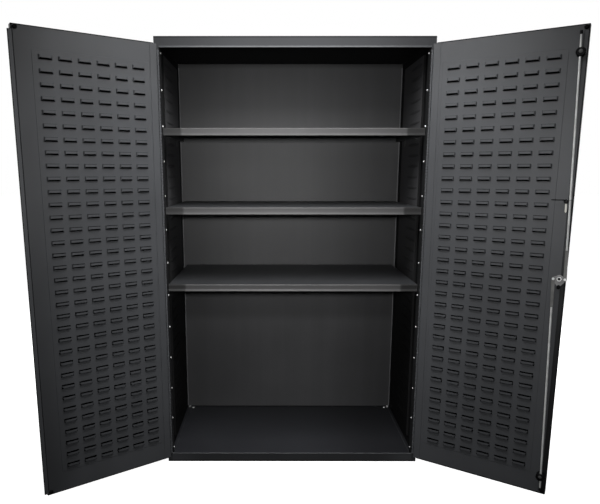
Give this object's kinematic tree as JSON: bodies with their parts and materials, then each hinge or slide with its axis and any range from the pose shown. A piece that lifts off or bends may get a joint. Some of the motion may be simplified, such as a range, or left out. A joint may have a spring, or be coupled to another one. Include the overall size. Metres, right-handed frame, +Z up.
{
  "type": "locking shelf cabinet",
  "caption": "Tall steel storage cabinet with louvered hinged doors, shelves on clips, and a lever lock whose cam drives rods into the header and sill.",
  "frame": {"origin": "middle of the case's footprint, at the ground", "axes": "+X to the right of a person facing the open doors, +Y from the doors to the back panel, +Z up"},
  "size_m": [2.2087, 0.9453, 1.9812],
  "materials": {
    "paint": "satin charcoal powder coat",
    "inner_paint": "satin charcoal powder coat",
    "zinc": "zinc plated",
    "black_plastic": "moulded black",
    "rubber": "matt",
    "brass": "worn"
  },
  "bodies": {
    "case": {"left_side": "paint", "right_side": "paint", "back_panel": "inner_paint", "top_panel": "paint", "header": "paint", "sill": "paint", "floor_pan": "inner_paint", "floor_stiffener": "inner_paint", "left_slot_panel": "inner_paint", "right_slot_panel": "inner_paint", "shelf_lower": "paint", "shelf_middle": "paint", "shelf_upper": "paint", "clip_lower_left_front": "zinc", "clip_lower_left_rear": "zinc", "clip_lower_right_front": "zinc", "clip_lower_right_rear": "zinc", "clip_middle_left_front": "zinc", "clip_middle_left_rear": "zinc", "clip_middle_right_front": "zinc", "clip_middle_right_rear": "zinc", "clip_upper_left_front": "zinc", "clip_upper_left_rear": "zinc", "clip_upper_right_front": "zinc", "clip_upper_right_rear": "zinc", "left_case_leaf": "paint", "right_case_leaf": "paint", "left_hinge_pin": "zinc", "right_hinge_pin": "zinc"},
    "left_door": {"left_door_pan": "paint", "left_louver_liner": "paint", "left_door_leaf": "paint", "left_bumper_top": "rubber", "left_bumper_bottom": "rubber", "astragal_strip": "paint"},
    "right_door": {"right_door_pan": "paint", "right_louver_liner": "paint", "right_door_leaf": "paint", "right_bumper_top": "rubber", "right_bumper_bottom": "rubber", "upper_rod_guide": "black_plastic", "lower_rod_guide": "black_plastic", "spindle_bush": "zinc", "handle_escutcheon": "black_plastic"},
    "handle": {"handle_lever": "black_plastic", "latch_cam": "zinc", "nose_shoe": "black_plastic", "spindle_nut": "zinc", "upper_pivot_pin": "zinc", "lower_pivot_pin": "zinc", "lock_cylinder": "zinc"},
    "lock_plug": {"lock_plug": "brass"},
    "upper_rod": {"upper_rod": "zinc", "upper_rod_tip": "black_plastic", "key_tie": "black_plastic", "key": "brass"},
    "lower_rod": {"lower_rod": "zinc", "lower_rod_tip": "black_plastic"}
  },
  "joints": [
    {"name": "left_door_swing", "type": "hinge", "parent": "case", "child": "left_door", "pos_m": [-0.5913, -0.3098, 0.99], "axis": [0, 0, -1], "range_deg": [-145.76, 10]},
    {"name": "right_door_swing", "type": "hinge", "parent": "case", "child": "right_door", "pos_m": [0.5913, -0.3098, 0.99], "axis": [0, 0, 1], "range_deg": [-147.73, 8]},
    {"name": "handle_turn", "type": "hinge", "parent": "right_door", "child": "handle", "pos_m": [1.07001, -0.60616, 0.981], "axis": [-0.5339, -0.8455, 0], "range_deg": [0, 90]},
    {"name": "upper_rod_pivot", "type": "hinge", "parent": "handle", "child": "upper_rod", "pos_m": [1.07714, -0.6342, 0.981], "axis": [-0.5339, -0.8455, 0], "range_deg": [-91.5, 0]},
    {"name": "lower_rod_pivot", "type": "hinge", "parent": "handle", "child": "lower_rod", "pos_m": [1.04163, -0.61178, 0.981], "axis": [-0.5339, -0.8455, 0], "range_deg": [-91.5, 0]},
    {"name": "lock_plug_turn", "type": "hinge", "parent": "handle", "child": "lock_plug", "pos_m": [1.10525, -0.55036, 0.981], "axis": [-0.5339, -0.8455, 0], "range_deg": [0, 90]}
  ],
  "couplings": [
    {"joint": "upper_rod_pivot", "follows": "handle_turn", "ratio": -1.0154},
    {"joint": "lower_rod_pivot", "follows": "handle_turn", "ratio": -1.0153}
  ]
}
